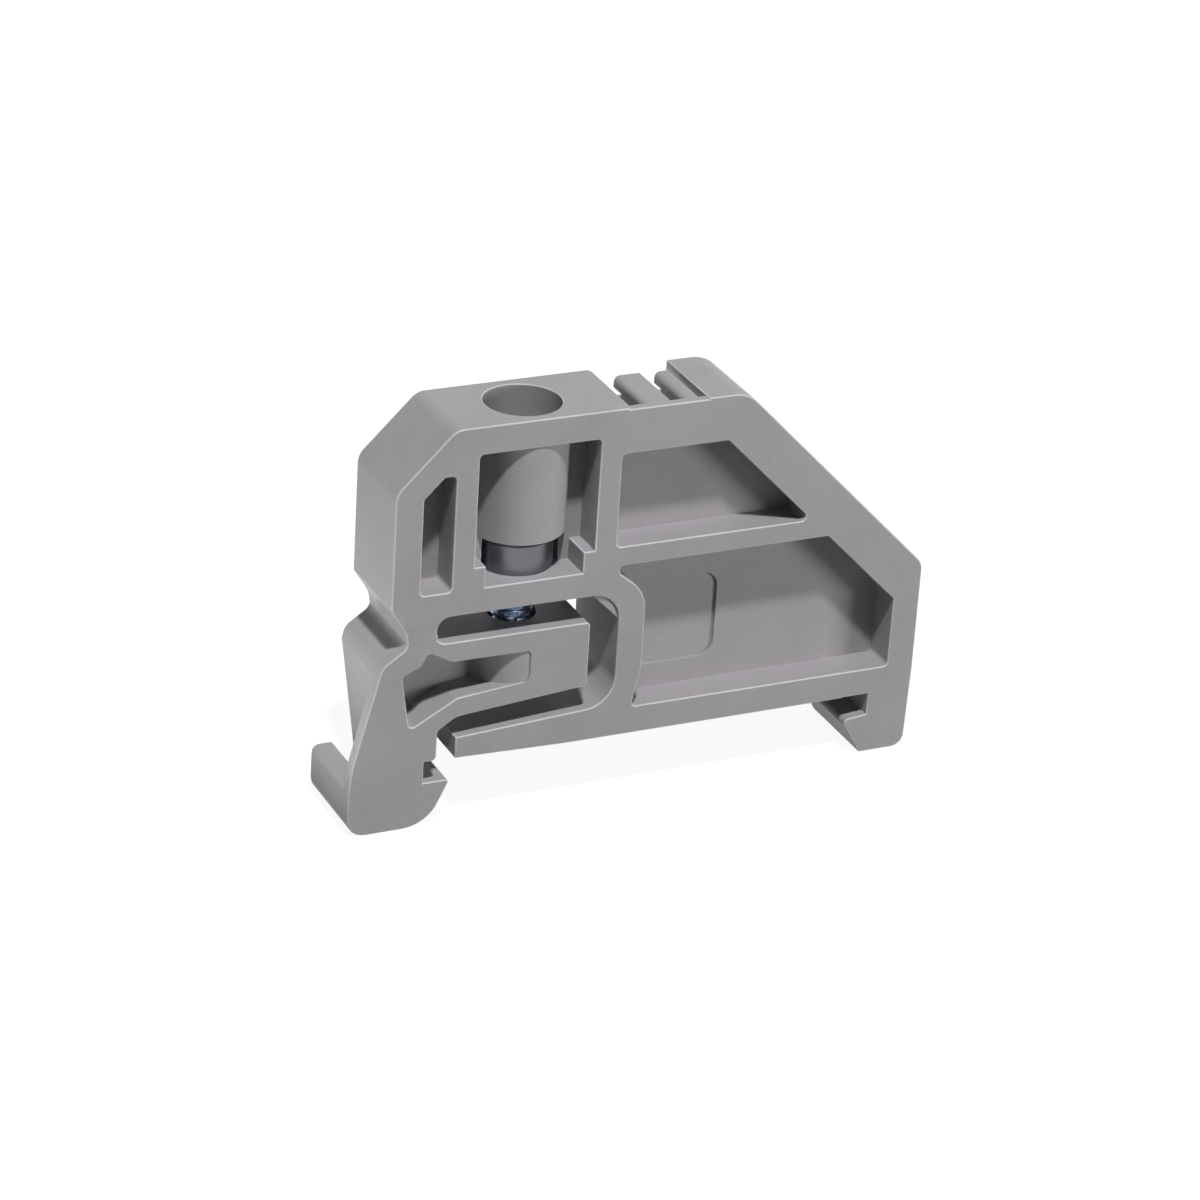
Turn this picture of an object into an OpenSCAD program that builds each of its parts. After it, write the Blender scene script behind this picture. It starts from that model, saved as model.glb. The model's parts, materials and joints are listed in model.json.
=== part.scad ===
// End stop for a top hat mounting rail: one moulding with a springy clamping foot, and one screw.
// X runs along the rail's width, Y through the moulding, Z up. The origin is on the rail's face,
// in the middle between its two flanges and in the middle of the moulding's thickness.

/* [Rail] */
// Width of the rail over its two flanges
rail_w = 35; // [34:0.5:36]
// Gap at each flange while the clamp is open
rail_play = 0.25; // [0.1:0.05:0.4]
// Thickness of a flange
flange_t = 1; // [0.8:0.1:1.2]
// Height left over between a flange and the hook under it
flange_play = 0.65; // [0.4:0.05:0.8]

/* [Moulding] */
// Thickness from face to face
body_t = 7.2; // [7.2:0.1:8.4]
// Thickness of the web between the front and the back pockets
web_t = 1.9; // [1.4:0.1:2.4]
// Height of the top above the rail
body_h = 25.7; // [25.2:0.25:27.2]
// Height of the right side up to the slanted side
side_h = 10.25; // [9.25:0.25:11.25]
// Width of the slanted side's rim, square to the slant
slant_w = 3.36; // [2.6:0.1:3.6]
// Width of the right side's rim
side_w = 2.14; // [1.6:0.1:2.8]
// Thickness of the base at its right
base_t = 2.14; // [1.64:0.1:2.34]
// Thickness of the base at its free left end
base_tip_t = 1.65; // [1.3:0.05:1.9]
// How far that end stands off the rail
base_tip_rise = 0.22; // [0:0.02:0.3]
// Height of the base's upper side where the slot turns up
base_end_t = 2.6; // [2.3:0.1:2.8]
// Width of the left cheek's rim
cheek_w = 2.1; // [1.6:0.1:2.4]
// How far the left cheek stands out past the clamping notch
cheek_out = 2.95; // [2.6:0.05:3.2]
// Size of the slanted corner at the top left
chamfer = 4.3; // [3.5:0.1:5]
// Width of that corner's rim, square to it
chamfer_w = 1.95; // [1.5:0.05:2.4]
// Width of the two upright ribs
strut_w = 1.67; // [1.2:0.05:2]
// Height of the rib between the upper and the lower pocket
rib_z = 13.55; // [13.4:0.05:14.2]
// Thickness of that rib
rib_t = 1.5; // [1.2:0.1:2]
// Thickness of the top over the upper pocket
roof_t = 3.47; // [3.2:0.05:4]
// Radius of the pockets' corners
corner_r = 0.35; // [0.2:0.05:0.5]
// Radius of the outline's rounded corners
outline_r = 1.4; // [0.8:0.1:1.6]

/* [Screw column] */
// Distance from the clamping notch to the screw
screw_in = 7.78; // [7.6:0.02:8]
// Height of the floor that the screw's head seats on
floor_z = 13.4; // [13.2:0.1:13.8]
// Thickness of the bridge under the screw's head
bridge_t = 1.9; // [1.6:0.05:2.1]
// Width of the window in front of the column
window_w = 9.2; // [8.8:0.1:9.6]
// Thickness of the top over the window
window_roof_t = 2.1; // [1.8:0.1:2.6]
// Width between the two steps beside the screw's head
step_gap = 7.5; // [6.6:0.1:8]
// Height of those steps
step_h = 1.63; // [1.2:0.05:2]
// Outer radius of the sleeve that guides the driver
sleeve_r = 3.5; // [3.3:0.05:3.55]
// Radius of the bore in the sleeve
bore_r = 2.8; // [2.7:0.02:3]
// Height of the sleeve's lower end above the floor
sleeve_gap = 2.7; // [2.65:0.05:3]

/* [Fixed foot] */
// Width of the foot beyond the notch
foot_w = 3.55; // [3.2:0.05:4]
// Depth of the foot under the rail's face
foot_drop = 4.75; // [4.5:0.05:5.2]
// Reach of both hooks under the flanges
hook_reach = 2.05; // [1.6:0.05:2.2]
// Width of the flat sole between the notch and the hook's slant
sole_in = 0.35; // [0.1:0.05:0.5]

/* [Clamping foot] */
// Depth of the foot under the rail's face while it is open
clamp_drop = 4.85; // [4.7:0.05:5.1]
// Distance from the notch to the foot's outer side at its sole
foot_out = 5.7; // [5.4:0.05:6]
// Distance from the notch to the foot's shoulder
shoulder_out = 3.45; // [3.3:0.05:3.6]
// Height of that shoulder
shoulder_z = 8.25; // [8:0.05:8.4]
// Distance from the notch to the neck that bends
hinge_out = 0.57; // [0.5:0.01:0.65]
// Height of the neck
hinge_z = 10.3; // [10.2:0.02:10.4]
// Radius of the neck's round end
knuckle_r = 1.1; // [1:0.02:1.15]
// Gap around the round end
knuckle_gap = 0.05; // [0.03:0.01:0.08]
// Angle that the foot turns while one turn of the screw tightens it
clamp_deg = 3.45; // [2.5:0.05:3.6]
// Distance from the screw to the arm's free end
arm_out = 4.6; // [4.3:0.05:4.8]
// Height of the arm's free end
arm_end_h = 5.05; // [4.8:0.05:5.2]
// Gap between the arm and the bridge
arm_gap = 2.05; // [1.9:0.05:2.2]
// Gap between the arm and the base at their left ends
arm_low_gap = 1.65; // [1.5:0.05:1.8]
// Gap between the arm's free end and the slot's wall
arm_end_gap = 2.2; // [1.9:0.05:2.4]
// Thickness of the wall behind that gap
slot_wall = 2.05; // [1.7:0.05:2.4]
// Rim above the arm's pocket
arm_top_w = 1.55; // [1.4:0.05:1.7]
// Rim under the arm's pocket
arm_low_w = 1.5; // [1.4:0.05:1.6]
// Thickness of the front skin beside the recess in the foot's outer side
skin_t = 1; // [0.8:0.05:1.4]
// Height of the full lip under that recess, above the sole
lip_h = 3.9; // [3.6:0.05:4.2]
// Thickness of that lip at its top
lip_w = 1.65; // [1.3:0.05:1.9]
// Thickness of the sole behind the lip
lip_floor = 1.4; // [1:0.1:1.8]

/* [Tag holder] */
// Width of the fin at the right
fin_w = 3.05; // [2.6:0.05:3.3]
// Width of the groove beside the fin
groove_w = 0.62; // [0.4:0.02:0.7]
// Depth of that groove
groove_d = 0.55; // [0.4:0.05:0.6]
// Width of the ledge beside the groove
ledge_w = 1; // [0.8:0.05:1.2]
// Width of the gap between the ledge and the tab
gap_w = 1.08; // [0.98:0.02:1.3]
// Width of the tab
tab_w = 2.02; // [1.7:0.02:2.1]
// Width of the gap between the tab and the block over the column
end_gap_w = 1.16; // [1.04:0.02:1.4]
// Width of the low strip beside that block
strip_w = 0.27; // [0.15:0.02:0.35]
// Depth of the gaps under the top
tag_d = 2.2; // [1.8:0.1:2.6]
// Thickness of the front skin beside the gaps
tag_skin = 0.75; // [0.55:0.05:0.85]
// How far the tag holder lies under the top
tag_drop = 0.1; // [0.06:0.02:0.2]
// Distance from the front face to the tab's free end
tab_l = 5.9; // [5.6:0.05:6.2]
// Thickness of the tab's free end
tab_t = 0.92; // [0.8:0.02:1]

/* [Screw] */
// Radius of the head
head_r = 2.75; // [2.6:0.01:2.75]
// Height of the head
head_h = 2.3; // [2:0.05:2.5]
// Width of the driver's slot
drive_w = 0.8; // [0.6:0.05:1]
// Depth of the driver's slot
drive_d = 1; // [0.8:0.05:1.4]
// Radius of the thread
thread_r = 1.5; // [1.4:0.05:1.6]
// Length under the head
shank_l = 8; // [7.5:0.1:8.5]
// Gap around the thread in the bridge
shank_gap = 0.15; // [0.1:0.02:0.2]
// Gap around the head, under the sleeve
head_gap = 0.2; // [0.15:0.05:0.3]

/* [Hidden] */
// Overrun of every cut past the face it opens
over = 0.5;
// Facets of a full round, and steps in one rounded corner of an outline
$fn = 96;
steps = 8;

notch_x = rail_w / 2 + rail_play;
hook_z = -(flange_t + flange_play);
end_x = notch_x + foot_w;
cheek_x = -notch_x - cheek_out;
screw_x = -notch_x + screw_in;
// Free left end of the base, measured from the notch
base_in = 2.35;
base_x = -notch_x + base_in;
// Where the base's free end starts to rise off the rail
rise_l = 8.4;
seat_x = base_x + rise_l;
arm_x = screw_x + arm_out;
slot_x = arm_x + arm_end_gap;
ceiling_z = floor_z - bridge_t;
arm_top_z = ceiling_z - arm_gap;
arm_low_z = arm_top_z - arm_end_h;
arm_root_z = base_tip_rise + base_tip_t + arm_low_gap;
slant_sum = end_x + side_h;
rim_sum = slant_sum - slant_w * sqrt(2);
top_x = slant_sum - body_h;
window_l = screw_x - window_w / 2;
window_r = screw_x + window_w / 2;
front_y = -body_t / 2;
back_y = body_t / 2;
web_y = web_t / 2;

// Neck: the foot's round end at the hinge, and the housing's flat edge above it
hinge_x = -notch_x - hinge_out;
neck_w = 2.04;
cup_r = knuckle_r + knuckle_gap;
// Height of the housing's edge above the neck, and how far it runs past the neck at each side
cup_rise = 0.8;
cup_left = 1.45;
cup_right = 1.32;
// Where the slot's round left end runs into the bridge
slot_end_in = 1.63;
// Height at which the cheek's side turns in to the neck, above the neck
cheek_rise = 2.25;

// Slot around the arm
slot_r = 2.3;
slot_chamfer = 2.15;
relief_r = 2.1;
relief_d = 0.15;

// Wall between the slot and the lower pocket: its elbow above and its toe below
elbow_drop = 0.3;
elbow_back = 2.18;
elbow_top = 0.6;
elbow_r = 3;
toe_rise = 2.96;
toe_back = 0.63;

// Fixed foot
// Step above the hook that keeps the flange's edge clear of the seat
seat_relief = 0.06;
foot_draft = 0.2;
foot_turn_z = 1.6;
foot_r = 1;
// How far the hook's upper side falls towards its tip
hook_fall = 0.22;
tip_r = 0.4;
top_r = 2.5;

// Clamping foot: where its outer side starts to lean, the curve there, and its toe
lean_z = 0.25;
lean_r = 15;
shoulder_r = 1.2;
bend_r = 0.5;
toe_in = 0.42;
toe_r = 3.1;
// How much nearer to the flange this foot's hook stands than the fixed one
grip_rise = 0.25;
grip_z = hook_z + grip_rise;
grip_tip_r = 0.2;
inner_in = 0.93;
throat_z = 0.28;
inner_top_z = 2.6;
groove_in = 1.1;
groove_drop = 0.84;
groove_r = 0.9;
// Room beside the thread's lower end at both ends of the foot's turn
sweep = (hinge_z - floor_z + shank_l) * sin(clamp_deg / 2);

// Pocket of the foot and the arm
pocket_right = 0.1;
pocket_peak_in = 0.57;
pocket_peak = 1;
pocket_peak_w = 1.85;
pocket_left = 1.36;
pocket_drop = 3;
pocket_toe_in = 0.68;
pocket_toe_z = 3;

// Recess in the foot's outer side: its inner wall at the sole and at the shoulder, and the lip's edges
recess_low = 2.2;
recess_top = 3.68;
recess_top_z = 7.3;
lip_r = 0.6;
lip_in_r = 0.25;

// Shallow square panel on the lower pocket's web
panel_w = 6.73;
panel_r = 1.2;
panel_d = 0.2;
panel_right = 9.07;
panel_low = 1.8;

// Tag holder, from the fin on the right to the block on the left
fin_x = top_x - fin_w;
ledge_x = fin_x - groove_w - ledge_w;
tab_x = ledge_x - gap_w - tab_w;
tag_x = tab_x - end_gap_w;
tag_z = body_h - tag_d;
tab_r = 0.45;
ledge_short = 0.15;
fin_blend = 0.6;

function unit(v) = v / norm(v);
function turn(a) = a > 180 ? a - 360 : a < -180 ? a + 360 : a;

// Points that round the corner at q with radius r, no further along each side than there is room
function corner_arc(p, q, s, r, p_room, s_room) =
    let (
        u = unit(p - q),
        v = unit(s - q),
        half = acos(u * v) / 2,
        reach = min(r / tan(half), norm(p - q) * p_room, norm(s - q) * s_room),
        arc_r = reach * tan(half),
        c = q + unit(u + v) * arc_r / sin(half),
        from = q + u * reach - c,
        to = q + v * reach - c,
        a = atan2(from.y, from.x),
        sweep = turn(atan2(to.y, to.x) - a)
    )
    [for (i = [0 : steps]) c + arc_r * [cos(a + sweep * i / steps), sin(a + sweep * i / steps)]];

// A side that ends in a sharp corner is free for the round one, and two round corners share theirs
function room_share(corner) = corner.z == 0 ? 1 : 1 / 2;

// Outline from a list of corners [x, z, radius]
function outline(list) =
    let (n = len(list), flat = [for (c = list) [c.x, c.y]])
    [for (i = [0 : n - 1])
        let (before = (i + n - 1) % n, after = (i + 1) % n)
        each list[i].z == 0 ? [flat[i]]
            : corner_arc(flat[before], flat[i], flat[after], list[i].z,
                room_share(list[before]), room_share(list[after]))];

// Height of the arm's underside at x
function arm_under(x) =
    arm_root_z + (arm_low_z - arm_root_z) * (x - base_x) / (arm_x - base_x);

// A drawing in X and Z made solid from y0 to y1
module plate(y0, y1) {
    translate([0, y1, 0]) rotate([90, 0, 0]) linear_extrude(y1 - y0) children();
}

module shape(list) {
    polygon(outline(list));
}

// The same pocket from the front and from the back, down to the web
module both_pockets(list) {
    plate(front_y - over, -web_y) shape(list);
    plate(web_y, back_y + over) shape(list);
}

housing_corners = [
    [cheek_x, hinge_z + cheek_rise, corner_r],
    [cheek_x, body_h - chamfer, outline_r],
    [cheek_x + chamfer, body_h, outline_r],
    [top_x, body_h, top_r],
    [end_x, side_h, outline_r],
    [end_x, foot_turn_z, outline_r],
    [end_x - foot_draft, -foot_drop, foot_r],
    [notch_x - sole_in, -foot_drop, corner_r],
    [notch_x - hook_reach, hook_z - hook_fall, tip_r],
    [notch_x, hook_z, 0],
    [notch_x, seat_relief, 0],
    [notch_x - hook_reach - seat_relief, seat_relief, 0],
    [notch_x - hook_reach - seat_relief, 0, 0],
    [seat_x, 0, 0],
    [base_x, base_tip_rise, 0],
    [base_x, base_tip_rise + base_tip_t, 0],
    [slot_x, base_end_t, slot_r],
    [slot_x, ceiling_z - slot_chamfer, 0],
    [slot_x - slot_chamfer, ceiling_z, 0],
    [hinge_x + slot_end_in, ceiling_z, arm_gap / 2],
    [hinge_x + cup_right, hinge_z + cup_rise, 0],
    [hinge_x - cup_left, hinge_z + cup_rise, 0]
];

slim_pocket = [
    [cheek_x + cheek_w, floor_z, corner_r],
    [cheek_x + cheek_w, body_h - chamfer + cheek_w - chamfer_w * sqrt(2), corner_r],
    [cheek_x + chamfer - roof_t + chamfer_w * sqrt(2), body_h - roof_t, corner_r],
    [window_l - strut_w, body_h - roof_t, corner_r],
    [window_l - strut_w, floor_z, corner_r]
];

window_pocket = [
    [screw_x - step_gap / 2, floor_z, 0],
    [screw_x - step_gap / 2, floor_z + step_h, 0],
    [window_l, floor_z + step_h, 0],
    [window_l, body_h - window_roof_t, corner_r],
    [window_r, body_h - window_roof_t, corner_r],
    [window_r, floor_z + step_h, 0],
    [screw_x + step_gap / 2, floor_z + step_h, 0],
    [screw_x + step_gap / 2, floor_z, 0]
];

upper_pocket = [
    [window_r + strut_w, rib_z + rib_t, corner_r],
    [window_r + strut_w, body_h - roof_t, corner_r],
    [rim_sum - body_h + roof_t, body_h - roof_t, corner_r],
    [rim_sum - rib_z - rib_t, rib_z + rib_t, corner_r]
];

lower_pocket = [
    [slot_x + slot_wall - toe_back, base_t, corner_r],
    [slot_x + slot_wall, base_t + toe_rise, slot_r],
    [slot_x + slot_wall, ceiling_z - elbow_drop, elbow_r],
    [slot_x + slot_wall - elbow_back, rib_z - elbow_top, corner_r],
    [slot_x + slot_wall - elbow_back, rib_z, corner_r],
    [rim_sum - rib_z, rib_z, corner_r],
    [end_x - side_w, rim_sum - end_x + side_w, corner_r],
    [end_x - side_w, base_t, corner_r]
];

foot_corners = [
    [hinge_x - neck_w / 2, hinge_z, 0],
    [hinge_x + neck_w / 2, hinge_z, 0],
    [hinge_x + neck_w / 2, arm_top_z, arm_gap / 2],
    [arm_x, arm_top_z, corner_r],
    [arm_x, arm_low_z, corner_r],
    [base_x, arm_root_z, outline_r],
    [-notch_x + inner_in, inner_top_z, corner_r],
    [-notch_x + inner_in, throat_z, corner_r],
    [-notch_x, throat_z, 0],
    [-notch_x, grip_z, 0],
    [-notch_x + hook_reach, grip_z, grip_tip_r],
    [-notch_x + toe_in, -clamp_drop, toe_r],
    [-notch_x - foot_out, -clamp_drop, outline_r],
    [-notch_x - foot_out, -lean_z, lean_r],
    [-notch_x - shoulder_out, shoulder_z, shoulder_r],
    [hinge_x - groove_in, hinge_z - groove_drop, groove_r]
];

foot_pocket = [
    [screw_x + pocket_right, arm_top_z - arm_top_w, corner_r],
    [screw_x + pocket_right, arm_under(screw_x) + arm_low_w, bend_r],
    [base_x, arm_under(base_x) + arm_low_w, outline_r],
    [hinge_x - pocket_toe_in, pocket_toe_z, corner_r],
    [hinge_x - pocket_left, hinge_z - pocket_drop, corner_r],
    [hinge_x, arm_top_z - arm_top_w, corner_r],
    [hinge_x + pocket_peak_in, arm_top_z - arm_top_w + pocket_peak, corner_r],
    [hinge_x + pocket_peak_in + pocket_peak_w, arm_top_z - arm_top_w, bend_r]
];

// The bare sheet of the top behind the front skin, where the tag holder's tabs stand
module tag_room() {
    translate([tag_x, front_y + tag_skin, tag_z])
        cube([fin_x - tag_x, body_t, tag_d + over]);
    translate([tag_x - strip_w, front_y - over, body_h - tag_drop])
        cube([fin_x - tag_x + strip_w, body_t + 2 * over, tag_drop + over]);
}

// One tab: as deep as the web up to the web's back, then a thin free end
module tag_tab(x0, x1, end_y) {
    for (part = [[web_y, tag_z - over], [end_y, body_h - tag_drop - tab_t]])
        plate(front_y + tag_skin / 2, part.x) shape([
            [x0, part.y, 0],
            [x0, body_h - tag_drop, tab_r],
            [x1, body_h - tag_drop, 0],
            [x1, part.y, 0]
        ]);
}

module tag_holder() {
    tag_tab(tab_x, tab_x + tab_w, front_y + tab_l);
    difference() {
        tag_tab(ledge_x, fin_x + over, front_y + tab_l - ledge_short);
        translate([fin_x - groove_w, front_y + tag_skin, body_h - tag_drop - groove_d])
            cube([groove_w, body_t, groove_d + over]);
    }
    // The fin's back corner runs out into the ledge
    translate([0, 0, body_h - tag_drop - tab_t]) linear_extrude(tab_t - groove_d) polygon([
        [fin_x - fin_blend, front_y + tab_l - ledge_short - over],
        [fin_x - fin_blend, front_y + tab_l - ledge_short],
        [fin_x, back_y],
        [fin_x + over, back_y],
        [fin_x + over, front_y + tab_l - ledge_short - over]
    ]);
}

module housing() color("#969496") {
    difference() {
        union() {
            difference() {
                plate(front_y, back_y) shape(housing_corners);
                both_pockets(slim_pocket);
                both_pockets(window_pocket);
                both_pockets(upper_pocket);
                both_pockets(lower_pocket);
                tag_room();
            }
            tag_holder();
            translate([screw_x, 0, floor_z + sleeve_gap])
                cylinder(h = body_h - window_roof_t / 2 - floor_z - sleeve_gap, r = sleeve_r);
        }
        translate([screw_x, 0, floor_z + sleeve_gap - over])
            cylinder(h = body_h - floor_z - sleeve_gap + 2 * over, r = bore_r);
        // The web is open around the screw's head
        translate([screw_x - head_r - head_gap, -web_y - over, floor_z])
            cube([2 * (head_r + head_gap), web_t + 2 * over, sleeve_gap]);
        translate([screw_x, 0, ceiling_z - over])
            cylinder(h = bridge_t + 2 * over, r = thread_r + shank_gap);
        translate([hinge_x, back_y + over, hinge_z])
            rotate([90, 0, 0]) cylinder(h = body_t + 2 * over, r = cup_r);
        // Shallow relief outside the slot's slanted corner, on both faces
        for (y = [front_y, back_y])
            plate(y - relief_d, y + relief_d) shape([
                [slot_x - slot_chamfer - over, ceiling_z, 0],
                [slot_x, ceiling_z, relief_r],
                [slot_x, ceiling_z - slot_chamfer - over, 0]
            ]);
        // Shallow panel on the front of the lower pocket's web
        plate(-web_y - over, -web_y + panel_d) shape([
            [slot_x + panel_right - panel_w, base_t + panel_low, panel_r],
            [slot_x + panel_right - panel_w, base_t + panel_low + panel_w, panel_r],
            [slot_x + panel_right, base_t + panel_low + panel_w, panel_r],
            [slot_x + panel_right, base_t + panel_low, panel_r]
        ]);
    }
}

// Room in the foot's outer side, open to the left and to the back, around a lip that stands on the sole
module foot_recess() {
    plate(front_y + skin_t, back_y + over) difference() {
        polygon([
            [-notch_x - recess_low, lip_floor - clamp_drop],
            [-notch_x - foot_out - over, lip_floor - clamp_drop],
            [-notch_x - foot_out - over, recess_top_z],
            [-notch_x - recess_top, recess_top_z]
        ]);
        shape([
            [-notch_x - foot_out, -clamp_drop, 0],
            [-notch_x - foot_out, lip_h - clamp_drop, lip_r],
            [-notch_x - foot_out + lip_w, lip_h - clamp_drop, lip_in_r],
            [-notch_x - foot_out + lip_w, -clamp_drop, 0]
        ]);
    }
}

module clamp_foot() color("#969496") {
    difference() {
        union() {
            difference() {
                plate(front_y, back_y) shape(foot_corners);
                both_pockets(foot_pocket);
                foot_recess();
            }
            translate([hinge_x, back_y, hinge_z])
                rotate([90, 0, 0]) cylinder(h = body_t, r = knuckle_r);
            // Boss around the thread, inside the arm
            intersection() {
                translate([screw_x, 0, 0]) cylinder(h = arm_top_z, r = sleeve_r);
                plate(front_y, back_y) shape(foot_corners);
            }
        }
        // The thread's hole leans by half the foot's turn, so the screw has room over all of it
        translate([hinge_x, 0, hinge_z]) rotate([0, clamp_deg / 2, 0])
            translate([screw_x - hinge_x, 0, -hinge_z])
                cylinder(h = hinge_z + over, r = thread_r + shank_gap + sweep);
    }
}

module screw() color("#a9b2bd") {
    difference() {
        translate([screw_x, 0, floor_z]) cylinder(h = head_h, r = head_r);
        translate([screw_x - head_r - over, -drive_w / 2, floor_z + head_h - drive_d])
            cube([2 * (head_r + over), drive_w, drive_d + over]);
    }
    translate([screw_x, 0, floor_z - shank_l]) cylinder(h = shank_l + head_h / 4, r = thread_r);
}

housing();
clamp_foot();
screw();
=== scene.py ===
import json
import math

import bpy
import bmesh
from mathutils import Matrix, Vector


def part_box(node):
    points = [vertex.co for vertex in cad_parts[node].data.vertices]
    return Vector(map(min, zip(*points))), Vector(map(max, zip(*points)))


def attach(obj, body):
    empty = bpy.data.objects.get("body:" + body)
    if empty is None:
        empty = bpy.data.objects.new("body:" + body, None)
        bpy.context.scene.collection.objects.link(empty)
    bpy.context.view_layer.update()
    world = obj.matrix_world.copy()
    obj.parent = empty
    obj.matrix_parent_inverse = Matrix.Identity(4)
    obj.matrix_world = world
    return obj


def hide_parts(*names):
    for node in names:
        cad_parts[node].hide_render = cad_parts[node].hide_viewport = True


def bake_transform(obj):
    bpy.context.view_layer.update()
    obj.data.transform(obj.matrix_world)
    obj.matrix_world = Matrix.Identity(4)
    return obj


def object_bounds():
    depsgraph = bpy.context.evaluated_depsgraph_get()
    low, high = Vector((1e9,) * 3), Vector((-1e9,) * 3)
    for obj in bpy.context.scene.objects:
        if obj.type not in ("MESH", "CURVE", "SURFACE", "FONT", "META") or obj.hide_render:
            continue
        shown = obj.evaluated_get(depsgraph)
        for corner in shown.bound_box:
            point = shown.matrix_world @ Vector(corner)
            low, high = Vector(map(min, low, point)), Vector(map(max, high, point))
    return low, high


# Rail end stop: a grey moulding with a springy clamping foot, and a plated screw in it.
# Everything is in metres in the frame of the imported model, and mm turns millimetres into it.

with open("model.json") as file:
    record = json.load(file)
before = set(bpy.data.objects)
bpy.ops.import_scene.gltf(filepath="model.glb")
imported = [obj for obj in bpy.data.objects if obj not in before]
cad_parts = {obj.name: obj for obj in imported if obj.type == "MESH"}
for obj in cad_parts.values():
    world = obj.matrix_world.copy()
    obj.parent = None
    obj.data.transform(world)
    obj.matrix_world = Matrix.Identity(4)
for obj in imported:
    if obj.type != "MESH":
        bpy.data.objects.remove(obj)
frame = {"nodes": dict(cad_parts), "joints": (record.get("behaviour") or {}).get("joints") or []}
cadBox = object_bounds()
mm = 0.001
joints = {joint["name"]: joint for joint in frame["joints"]}
hinge = Vector(joints["foot_clamp"]["pos_m"])   # the middle of the neck
seat = Vector(joints["screw_turn"]["pos_m"])    # under the screw's head
print("stage: frame loaded")

camera = {
    "place": (-126.47, -251.06, 144.49),  # mm, from the middle of the rail's seat
    "turn": 26.19,       # degrees to the right of straight ahead
    "tilt": 25.81,       # degrees below the horizon
    "roll": 3.70,        # degrees
    "lens": 129.97,      # mm
    "sensor": 36,        # mm across
    "nearest": 10,       # mm, nothing nearer than this is drawn
}


def makeCamera():
    data = bpy.data.cameras.new("photoCamera")
    data.lens = camera["lens"]
    data.sensor_width = camera["sensor"]
    data.clip_start = camera["nearest"] * mm
    photoCamera = bpy.data.objects.new("photoCamera", data)
    bpy.context.scene.collection.objects.link(photoCamera)
    turn = Matrix.Rotation(math.radians(-camera["turn"]), 4, "Z")
    tilt = Matrix.Rotation(math.radians(90 - camera["tilt"]), 4, "X")
    roll = Matrix.Rotation(math.radians(camera["roll"]), 4, "Z")
    place = Matrix.Translation(Vector(camera["place"]) * mm)
    photoCamera.matrix_world = place @ turn @ tilt @ roll
    bpy.context.scene.camera = photoCamera


makeCamera()
print("stage: camera")


# Working on a mesh

def focus(piece):
    bpy.ops.object.select_all(action="DESELECT")
    piece.select_set(True)
    bpy.context.view_layer.objects.active = piece


def editAll(piece):
    focus(piece)
    bpy.ops.object.mode_set(mode="EDIT")
    bpy.ops.mesh.select_mode(type="VERT")
    bpy.ops.mesh.select_all(action="SELECT")


def leaveEdit():
    bpy.ops.object.mode_set(mode="OBJECT")


# Selects what the test picks, in edit mode, and says how many there are
def pick(piece, kind, test):
    bpy.ops.mesh.select_mode(type=kind)
    bpy.ops.mesh.select_all(action="DESELECT")
    mesh = bmesh.from_edit_mesh(piece.data)
    group = {"VERT": mesh.verts, "EDGE": mesh.edges, "FACE": mesh.faces}[kind]
    found = [part for part in group if test(part)]
    for part in found:
        part.select_set(True)
    mesh.select_flush_mode()
    bmesh.update_edit_mesh(piece.data)
    return len(found)


# Rounds turn smoothly into the flats beside them, and the flats stay flat
def smoothFlats(piece, angle):
    focus(piece)
    bpy.ops.object.shade_smooth_by_angle(angle=math.radians(angle))
    level = piece.modifiers.new("level", "WEIGHTED_NORMAL")
    level.keep_sharp = True
    bpy.ops.object.modifier_apply(modifier=level.name)


# Materials

# An sRGB colour such as "#959296" as Blender's linear one, by the sRGB curve
def toLinear(code):
    shares = [int(code[i:i + 2], 16) / 255 for i in (1, 3, 5)]
    return [c / 12.92 if c <= 0.04045 else ((c + 0.055) / 1.055) ** 2.4 for c in shares] + [1]


# Values and links go by the name or the number of an input
def addNode(tree, kind, values=None, links=None, **settings):
    node = tree.nodes.new(kind)
    for name, value in settings.items():
        setattr(node, name, value)
    for socket, value in (values or {}).items():
        node.inputs[socket].default_value = value
    for socket, source in (links or {}).items():
        tree.links.new(source, node.inputs[socket])
    return node


# Inputs and output of a Mix node that mixes colours, as their names stand for other kinds too
mixFrom, mixTo, mixed = 6, 7, 2
noiseLow, noiseHigh = 0.3, 0.7    # nearly all of a noise lies between these


def newMaterial(name):
    material = bpy.data.materials.new(name)
    material.use_nodes = True
    return material, material.node_tree, material.node_tree.nodes["Principled BSDF"]


# Scale of a pattern whose forms are so many mm wide
def perMetre(size):
    return 1 / (size * mm)


skin = {
    "clouds": 5,         # mm
    "grain": 0.14,       # mm, coarser than the real grain, so that it shows
    "grainDepth": 0.02,  # mm
    "bump": 0.5,         # strength of the grain's bump
    "speckLow": 0.35,    # specks begin at this value of the grain's noise
    "speckHigh": 0.75,   # and are whole at this one
    "speckMost": 0.5,    # most that a speck takes of its own colour
    "glossiest": 0.38,   # roughness
    "dullest": 0.48,
    "ior": 1.53,
    "shine": 0.28,       # specular level, which is 0.5 for a polished skin
}


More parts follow.
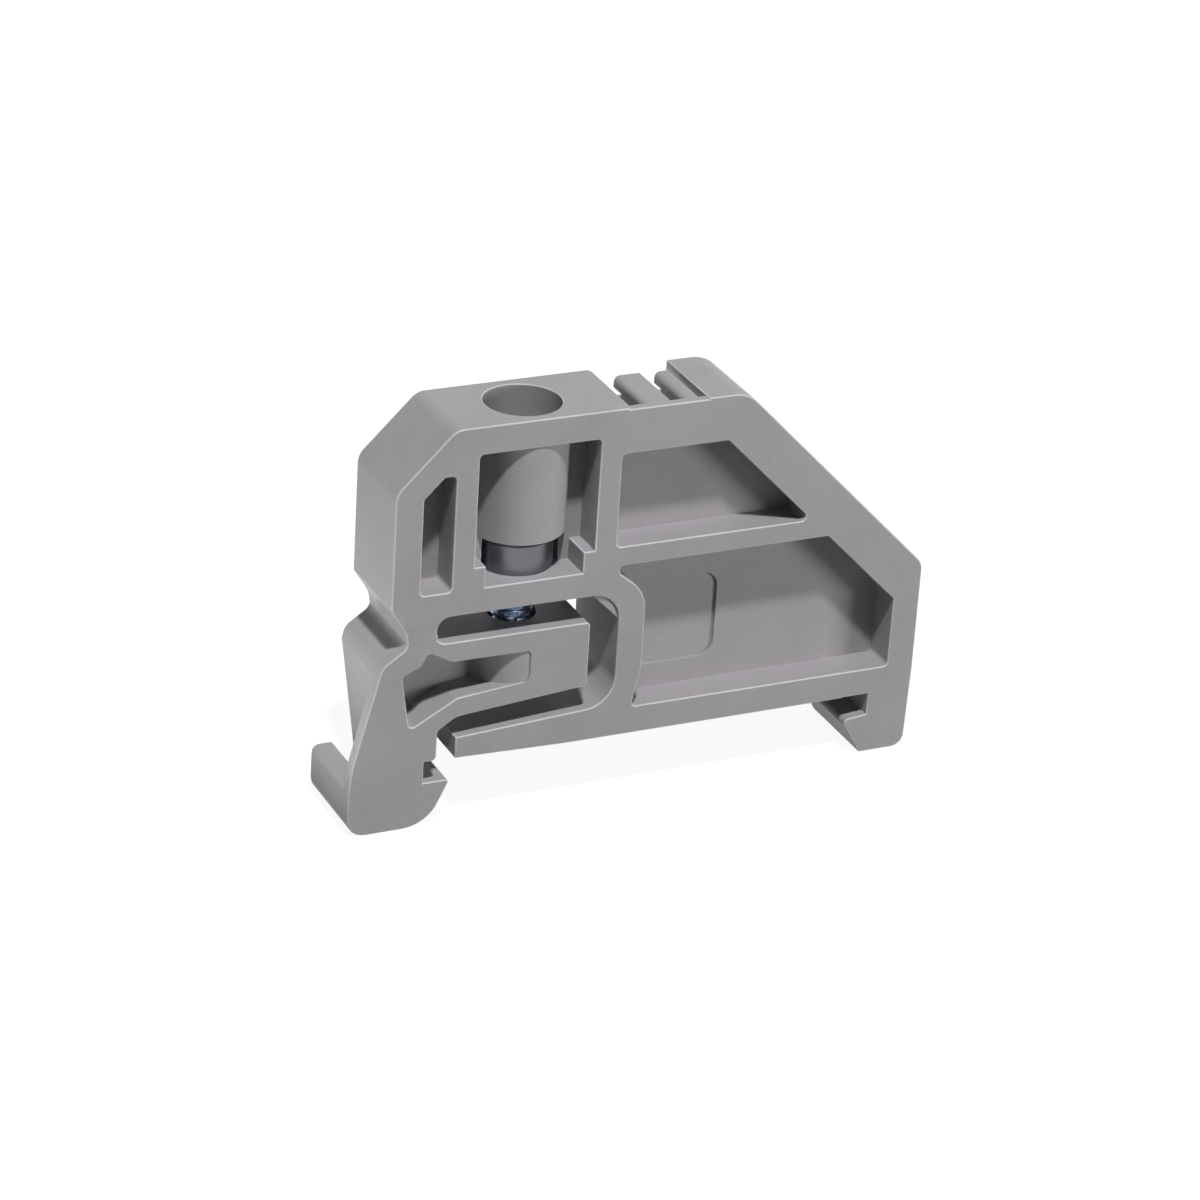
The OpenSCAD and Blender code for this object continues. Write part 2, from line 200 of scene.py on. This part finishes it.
# Polyamide PA66, moulded in a spark-eroded tool: a dull grey skin with a fine even grain,
# faint flow clouds from the gate, and a few paler specks
def mouldedPolyamide(name, cloudy, plain, speckled):
    material, tree, shader = newMaterial(name)
    place = addNode(tree, "ShaderNodeTexCoord").outputs["Object"]
    clouds = addNode(tree, "ShaderNodeTexNoise",
                     {"Scale": perMetre(skin["clouds"]), "Detail": 3, "Roughness": 0.5}, {"Vector": place})
    grain = addNode(tree, "ShaderNodeTexNoise",
                    {"Scale": perMetre(skin["grain"]), "Detail": 2, "Roughness": 0.6}, {"Vector": place})
    tone = addNode(tree, "ShaderNodeMapRange", {"From Min": noiseLow, "From Max": noiseHigh},
                   {"Value": clouds.outputs["Fac"]})
    base = addNode(tree, "ShaderNodeMix", {mixFrom: toLinear(cloudy), mixTo: toLinear(plain)},
                   {"Factor": tone.outputs["Result"]}, data_type="RGBA")
    speck = addNode(tree, "ShaderNodeMapRange",
                    {"From Min": skin["speckLow"], "From Max": skin["speckHigh"],
                     "To Max": skin["speckMost"]},
                    {"Value": grain.outputs["Fac"]})
    colour = addNode(tree, "ShaderNodeMix", {mixTo: toLinear(speckled)},
                     {"Factor": speck.outputs["Result"], mixFrom: base.outputs[mixed]}, data_type="RGBA")
    dull = addNode(tree, "ShaderNodeMapRange",
                   {"From Min": noiseLow, "From Max": noiseHigh,
                    "To Min": skin["glossiest"], "To Max": skin["dullest"]},
                   {"Value": grain.outputs["Fac"]})
    bump = addNode(tree, "ShaderNodeBump", {"Strength": skin["bump"], "Distance": skin["grainDepth"] * mm},
                   {"Height": grain.outputs["Fac"]})
    tree.links.new(colour.outputs[mixed], shader.inputs["Base Color"])
    tree.links.new(dull.outputs["Result"], shader.inputs["Roughness"])
    tree.links.new(bump.outputs["Normal"], shader.inputs["Normal"])
    shader.inputs["IOR"].default_value = skin["ior"]
    shader.inputs["Specular IOR Level"].default_value = skin["shine"]
    return material


plating = {
    "marks": 0.12,       # mm, coarser than the real turning marks, so that they show
    "acrossShare": 0.08,  # how fast the marks change sideways to how fast upwards, which makes rings
    "film": 1.6,         # mm, patches where the plating is bluer
    "dullBy": 0.12,      # roughness between the glossiest and the dullest mark
}


# Steel, zinc plated and passivated: a dull grey metal, turned with fine rings round its axis.
# The head is given a darker grey than the thread, a painted shade for the dark hollow round it that it
# reflects; the thread is bluer and glossier
def zincPlatedSteel(name, tinted, bare, dullest):
    material, tree, shader = newMaterial(name)
    place = addNode(tree, "ShaderNodeTexCoord").outputs["Object"]
    rings = addNode(tree, "ShaderNodeVectorMath", {1: (plating["acrossShare"], plating["acrossShare"], 1)},
                    {0: place}, operation="MULTIPLY")
    marks = addNode(tree, "ShaderNodeTexNoise", {"Scale": perMetre(plating["marks"]), "Detail": 2},
                    {"Vector": rings.outputs["Vector"]})
    film = addNode(tree, "ShaderNodeTexNoise", {"Scale": perMetre(plating["film"]), "Detail": 1},
                   {"Vector": place})
    colour = addNode(tree, "ShaderNodeMix", {mixFrom: toLinear(tinted), mixTo: toLinear(bare)},
                     {"Factor": film.outputs["Fac"]}, data_type="RGBA")
    rough = addNode(tree, "ShaderNodeMapRange",
                    {"From Min": noiseLow, "From Max": noiseHigh,
                     "To Min": dullest - plating["dullBy"], "To Max": dullest},
                    {"Value": marks.outputs["Fac"]})
    tree.links.new(colour.outputs[mixed], shader.inputs["Base Color"])
    tree.links.new(rough.outputs["Result"], shader.inputs["Roughness"])
    shader.inputs["Metallic"].default_value = 1
    return material


# The moulding's round edges take a paler grey, a painted highlight for the thin light line along them
polyamide = mouldedPolyamide("mouldedPolyamide", cloudy="#959296", plain="#9c999d", speckled="#a6a3a6")
edgeHighlightPolyamide = mouldedPolyamide("edgeHighlightPolyamide", cloudy="#b7b4b8", plain="#c0bdc1", speckled="#c8c5c8")
# The head's grey is darker than the thread's: painted shade for the dark hollow round the head, which it
# reflects
shadedHeadZinc = zincPlatedSteel("zincPlatedSteel", tinted="#6b6e74", bare="#7a7a7d", dullest=0.46)
blueZinc = zincPlatedSteel("blueZincThread", tinted="#8fa3bd", bare="#a9b2bd", dullest=0.3)
print("stage: materials")


# The moulding, which is the housing and the foot

moulding = {
    "edge": 0.09,        # mm, radius of every outer edge
    "edgeSteps": 3,
    "edgeHighlightMaterial": 1,   # number of the paler polyamide in a piece's list, a painted highlight on the rounded edges
    "leastRoom": 0.3,    # mm, steps narrower than this keep their sharp edges
    "corner": 32,        # degrees, a bend of more than this is an edge
    "smooth": 33,        # degrees, a bend of less than this is shaded smooth
    "merge": 0.002,      # mm, points closer than this are one
    "flat": 0.4,         # degrees, sides that bend less than this are one
    "cupRadius": 1.15,   # mm, the shallow cup over the neck that the solid has for its hinge
    "cupWithin": 0.03,   # mm, a point this close to the cup's surface is on it
    "cupRise": 0.8,      # mm, from the neck's middle up to the seam, where the housing's copy ends
    "seamReach": 2,      # mm to each side of the hinge
    "seamWithin": 0.01,  # mm, a point this close to the seam's height is on it
    "sliver": 0.01,      # mm, points by the seam that are closer than this are one
}
seamHeight = hinge.z + moulding["cupRise"] * mm


def atSeam(point):
    away = abs(point.co.z - seamHeight)
    return away < moulding["seamWithin"] * mm and abs(point.co.x - hinge.x) < moulding["seamReach"] * mm


# A solid's mesh is loose triangles: the copy is merged, and its flat sides are made whole
def copyNode(nodeName, pieceName):
    piece = bpy.data.objects.new(pieceName, frame["nodes"][nodeName].data.copy())
    bpy.context.scene.collection.objects.link(piece)
    piece.data.materials.clear()
    piece.data.materials.append(polyamide)
    # The second material is the paler grey that paints a highlight on the rounded edges
    piece.data.materials.append(edgeHighlightPolyamide)
    editAll(piece)
    bpy.ops.mesh.remove_doubles(threshold=moulding["merge"] * mm)
    bpy.ops.mesh.normals_make_consistent(inside=False)
    bpy.ops.mesh.dissolve_limited(angle_limit=math.radians(moulding["flat"]))
    leaveEdit()
    return piece


# Width of the narrower side beside an edge: its face's area over the edge's length
def roomBeside(edge):
    length = max(edge.calc_length(), moulding["merge"] * mm)
    return min(face.calc_area() for face in edge.link_faces) / length


# Rounds every outer edge that has room for it, but for the seam, where the two copies meet
def roundEdges(piece):
    corner = math.radians(moulding["corner"])

    def inner(edge):
        return not edge.is_convex and edge.calc_face_angle(0) > corner

    def wanted(edge):
        if len(edge.link_faces) != 2 or all(atSeam(point) for point in edge.verts):
            return False
        if edge.calc_face_angle(0) < corner or not edge.is_convex:
            return False
        return roomBeside(edge) > moulding["leastRoom"] * mm

    editAll(piece)
    pick(piece, "EDGE", inner)
    bpy.ops.mesh.mark_sharp()    # smoothFlats keeps these as they are
    count = pick(piece, "EDGE", wanted)
    # The rounds take the paler grey, a painted highlight along each rounded edge
    bpy.ops.mesh.bevel(offset=moulding["edge"] * mm, segments=moulding["edgeSteps"], affect="EDGES",
                       clamp_overlap=False, material=moulding["edgeHighlightMaterial"])
    leaveEdit()
    print("  rounded", count, "edges of", piece.name)


def makeHousing():
    piece = copyNode("housing", "mouldedHousing")

    def inCup(point):
        away = math.hypot(point.co.x - hinge.x, point.co.z - hinge.z) - moulding["cupRadius"] * mm
        above = point.co.z > seamHeight - moulding["seamWithin"] * mm
        return above and abs(away) < moulding["cupWithin"] * mm

    def pressFlat():
        bpy.ops.transform.resize(value=(1, 1, 0), center_override=(hinge.x, 0, seamHeight))

    # The real moulding is whole at the neck, so the cup is pressed flat onto the seam,
    # and the slivers that it leaves there are merged away
    editAll(piece)
    pick(piece, "VERT", inCup)
    pressFlat()
    print("  points by the seam", pick(piece, "VERT", atSeam))
    bpy.ops.mesh.remove_doubles(threshold=moulding["sliver"] * mm)
    pressFlat()
    bpy.ops.mesh.select_all(action="SELECT")
    bpy.ops.mesh.dissolve_limited(angle_limit=math.radians(moulding["flat"]))
    leaveEdit()
    roundEdges(piece)
    smoothFlats(piece, moulding["smooth"])
    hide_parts("housing")
    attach(piece, "housing")


# In mm from the hinge, where what is left of it or below it is negative
neck = {
    "cut": -0.45,        # height at which the foot's copy is cut off, to be drawn up anew from there
    "cutWithin": 0.001,  # a point this close to the cut is on it
    "steps": 10,         # rings of points from the cut up to the seam
    "waistLeft": -1.1,   # deepest place of the groove on the left
    "leftHeight": -0.4,  # height of that place
    "leftTop": -1.45,    # where the neck meets the housing's cheek, at the seam
    "slotMiddle": 2.145,  # middle of the round end of the slot on the right
    "slotHeight": 0.175,  # height of that middle
    "slotRadius": 1.025,
    "bendTop": 0.8,      # not used: above this height nothing would bend
    "bendLow": -0.6,     # not used: below this height all would turn with the foot
}


# Where the neck's sides are at a height, all in mm from the hinge: the left one is an arc that ends
# on the cheek, and the right one is the slot's round end
def neckSides(height):
    rise = moulding["cupRise"] - neck["leftHeight"]
    lean = neck["waistLeft"] - neck["leftTop"]
    radius = (rise * rise + lean * lean) / (2 * lean)
    up = max(height - neck["leftHeight"], 0)
    left = neck["waistLeft"] - radius + math.sqrt(radius * radius - up * up)
    beside = height - neck["slotHeight"]
    right = neck["slotMiddle"] - math.sqrt(neck["slotRadius"] ** 2 - beside ** 2)
    return left, right


def makeFoot():
    piece = copyNode("clamp_foot", "mouldedFoot")
    cutHeight = hinge.z + neck["cut"] * mm
    within = neck["cutWithin"] * mm

    def isCap(face):
        return all(abs(point.co.z - cutHeight) < within for point in face.verts)

    editAll(piece)
    bpy.ops.mesh.bisect(plane_co=(0, 0, cutHeight), plane_no=(0, 0, 1), clear_outer=True, use_fill=True,
                        threshold=within)
    print("  neck caps", pick(piece, "FACE", isCap))
    cap = [point.co.x for point in bmesh.from_edit_mesh(piece.data).verts if point.select]
    left, right = min(cap), max(cap)

    # The neck is drawn up anew from the cut to the seam, ring by ring
    climb = (moulding["cupRise"] - neck["cut"]) / neck["steps"]
    for step in range(1, neck["steps"] + 1):
        nextLeft, nextRight = [hinge.x + side * mm for side in neckSides(neck["cut"] + climb * step)]
        bpy.ops.mesh.extrude_region_move(TRANSFORM_OT_translate={"value": (0, 0, climb * mm)})
        wider = (nextRight - nextLeft) / (right - left)
        middle = (left + right) / 2
        bpy.ops.transform.resize(value=(wider, 1, 1), center_override=(middle, 0, cutHeight))
        bpy.ops.transform.translate(value=((nextLeft + nextRight) / 2 - middle, 0, 0))
        left, right = nextLeft, nextRight
    leaveEdit()
    roundEdges(piece)
    smoothFlats(piece, moulding["smooth"])
    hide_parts("clamp_foot")
    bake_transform(piece)


# The screw

screw = {
    "headRadius": 2.75,  # mm
    "headSides": 96,
    "headEdge": 0.22,    # mm, radius of the round on the head's top
    "headEdgeSteps": 4,
    "slotWidth": 0.8,    # mm
    "slotDepth": 1.0,    # mm
    "pitch": 0.5,        # mm, of an M3 thread
    "outer": 1.5,        # mm, radii of the thread
    "root": 1.2,
    "tip": 1.0,
    "lead": 0.6,         # mm of taper above the tip
    "crestShare": 0.2,   # of the pitch, the flat top of the thread
    "intoHeadShare": 0.25,  # of the head's height, so that no gap shows under the head
    "around": 48,        # points round the thread
    "ringsPerTurn": 10,
    "smooth": 35,        # degrees
}


def makeScrew():
    low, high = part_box("screw")
    headHeight = high.z - seat.z
    headMiddle = seat.z + headHeight / 2
    bpy.ops.object.select_all(action="DESELECT")
    bpy.ops.mesh.primitive_cylinder_add(vertices=screw["headSides"], radius=screw["headRadius"] * mm,
                                        depth=headHeight, location=(seat.x, seat.y, headMiddle))
    head = bpy.context.object
    bpy.ops.object.transform_apply(location=True, rotation=True, scale=True)
    editAll(head)
    pick(head, "EDGE", lambda edge: all(point.co.z > headMiddle for point in edge.verts))
    bpy.ops.mesh.bevel(offset=screw["headEdge"] * mm, segments=screw["headEdgeSteps"], affect="EDGES")
    leaveEdit()
    cutSlot(head, high.z)
    # The head's darker grey is a painted shade for the dark hollow that it reflects
    head.data.materials.clear()
    head.data.materials.append(shadedHeadZinc)
    thread = makeThread(low.z, seat.z + headHeight * screw["intoHeadShare"])
    focus(head)
    thread.select_set(True)
    bpy.ops.object.join()
    head.name = head.data.name = "platedScrew"
    smoothFlats(head, screw["smooth"])
    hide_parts("screw")
    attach(head, "screw")


# The cutter's middle is on the head's top, and it is twice as long as the head is wide
def cutSlot(head, top):
    bpy.ops.object.select_all(action="DESELECT")
    bpy.ops.mesh.primitive_cube_add(size=1, location=(seat.x, seat.y, top))
    cutter = bpy.context.object
    cutter.scale = (4 * screw["headRadius"] * mm, screw["slotWidth"] * mm, 2 * screw["slotDepth"] * mm)
    bpy.ops.object.transform_apply(location=True, rotation=True, scale=True)
    focus(head)
    cut = head.modifiers.new("slot", "BOOLEAN")
    cut.object = cutter
    cut.operation = "DIFFERENCE"
    bpy.ops.object.modifier_apply(modifier=cut.name)
    bpy.data.objects.remove(cutter)


# The thread is a cylinder with many rings, whose points move in and out along a helix
def makeThread(bottom, top):
    length = top - bottom
    rings = int(length / (screw["pitch"] * mm) * screw["ringsPerTurn"])
    bpy.ops.object.select_all(action="DESELECT")
    bpy.ops.mesh.primitive_cylinder_add(vertices=screw["around"], radius=screw["outer"] * mm, depth=length,
                                        location=(seat.x, seat.y, (bottom + top) / 2))
    thread = bpy.context.object
    bpy.ops.object.transform_apply(location=True, rotation=True, scale=True)
    editAll(thread)
    pick(thread, "EDGE", lambda edge: abs(edge.verts[0].co.z - edge.verts[1].co.z) > length / 2)
    bpy.ops.mesh.subdivide(number_cuts=rings)
    leaveEdit()
    flankShare = (1 - screw["crestShare"]) / 2
    for point in thread.data.vertices:
        outwards = Vector((point.co.x - seat.x, point.co.y - seat.y, 0)).normalized()
        up = (point.co.z - bottom) / mm
        turns = up / screw["pitch"] - math.atan2(outwards.y, outwards.x) / math.tau
        fromRoot = 0.5 - abs(turns % 1 - 0.5)    # in pitches, up to half of one
        crest = min(1, fromRoot / flankShare)
        radius = screw["root"] + (screw["outer"] - screw["root"]) * crest
        taper = screw["tip"] + (screw["outer"] - screw["tip"]) * up / screw["lead"]
        point.co.x = seat.x + outwards.x * min(radius, taper) * mm
        point.co.y = seat.y + outwards.y * min(radius, taper) * mm
    thread.data.materials.clear()
    thread.data.materials.append(blueZinc)
    return thread


# Putting it together

makeHousing()
print("stage: housing")
makeFoot()
print("stage: foot")
makeScrew()
print("stage: screw")


# Floor and light

studio = {
    "world": 0.004,          # what the world adds to the light
    "floorSize": 3000,       # mm
    "floorBase": "#787878",  # the floor is mid grey to the lamps, so that it throws little light back,
    "floorGlow": 0.93,       # and near white to the camera, where 1 is white
    "floorDull": 0.9,        # roughness
}
# Each lamp's direction from the part's middle, its distance and size in mm, and its power in W
lamps = {
    "key": {"towards": (-0.136, -0.40, 0.906), "away": 400, "size": 25, "power": 1.55},
    "fill": {"towards": (0.72, -0.69, 0.0), "away": 400, "size": 150, "power": 1.42, "glossy": False},
    "back": {"towards": (0.1, 0.99, 0.0), "away": 400, "size": 50, "power": 0.85, "glossy": False},
    # A pale card that lies on the floor, left of the part
    "card": {"towards": (-0.952, 0.118, -0.280), "away": 53.5, "size": 36, "power": 0.02,
             "shining": (0, 0, 1)},
}
pureWhite = (1, 1, 1, 1)


# A lamp shines at the part, unless another direction is given
def addLamp(name, towards, away, size, power, glossy=True, shining=None):
    data = bpy.data.lights.new(name, "AREA")
    data.size = size * mm
    data.energy = power
    lamp = bpy.data.objects.new(name, data)
    bpy.context.scene.collection.objects.link(lamp)
    middle = (cadBox[0] + cadBox[1]) / 2
    place = middle + Vector(towards).normalized() * away * mm
    back = -Vector(shining) if shining else Vector(towards)
    lamp.matrix_world = Matrix.Translation(place) @ back.to_track_quat("Z", "Y").to_matrix().to_4x4()
    lamp.visible_camera = False
    lamp.visible_glossy = glossy


# The node is 1 for the camera, for mirror-like surfaces and through glass, and 0 for other light
def seenDirectly(tree):
    path = addNode(tree, "ShaderNodeLightPath")
    either = addNode(tree, "ShaderNodeMath", operation="MAXIMUM",
                     links={0: path.outputs["Is Camera Ray"], 1: path.outputs["Is Glossy Ray"]})
    return addNode(tree, "ShaderNodeMath", operation="MAXIMUM",
                   links={0: either.outputs[0], 1: path.outputs["Is Transmission Ray"]})


def makeWorld():
    world = bpy.data.worlds.new("studio")
    bpy.context.scene.world = world
    world.use_nodes = True
    tree = world.node_tree
    tree.nodes.clear()
    dim = addNode(tree, "ShaderNodeBackground", {"Color": pureWhite, "Strength": studio["world"]})
    bright = addNode(tree, "ShaderNodeBackground", {"Color": pureWhite, "Strength": 1})
    mix = addNode(tree, "ShaderNodeMixShader",
                  links={0: seenDirectly(tree).outputs[0], 1: dim.outputs[0], 2: bright.outputs[0]})
    addNode(tree, "ShaderNodeOutputWorld", links={"Surface": mix.outputs[0]})


def makeFloor():
    bpy.ops.object.select_all(action="DESELECT")
    bpy.ops.mesh.primitive_plane_add(size=studio["floorSize"] * mm, location=(0, 0, cadBox[0].z))
    floor = bpy.context.object
    floor.name = "floor"
    material, tree, shader = newMaterial("paleStudioFloor")
    shader.inputs["Base Color"].default_value = toLinear(studio["floorBase"])
    shader.inputs["Roughness"].default_value = studio["floorDull"]
    shader.inputs["Specular IOR Level"].default_value = 0
    strength = addNode(tree, "ShaderNodeMath", {1: studio["floorGlow"]}, {0: seenDirectly(tree).outputs[0]},
                       operation="MULTIPLY")
    glow = addNode(tree, "ShaderNodeEmission", {"Color": pureWhite}, {"Strength": strength.outputs[0]})
    both = addNode(tree, "ShaderNodeAddShader", links={0: shader.outputs[0], 1: glow.outputs[0]})
    tree.links.new(both.outputs[0], tree.nodes["Material Output"].inputs["Surface"])
    floor.data.materials.append(material)


makeFloor()
makeWorld()
for lampName, settings in lamps.items():
    addLamp(lampName, **settings)
bpy.context.scene.view_settings.view_transform = "Standard"
print("stage: studio")
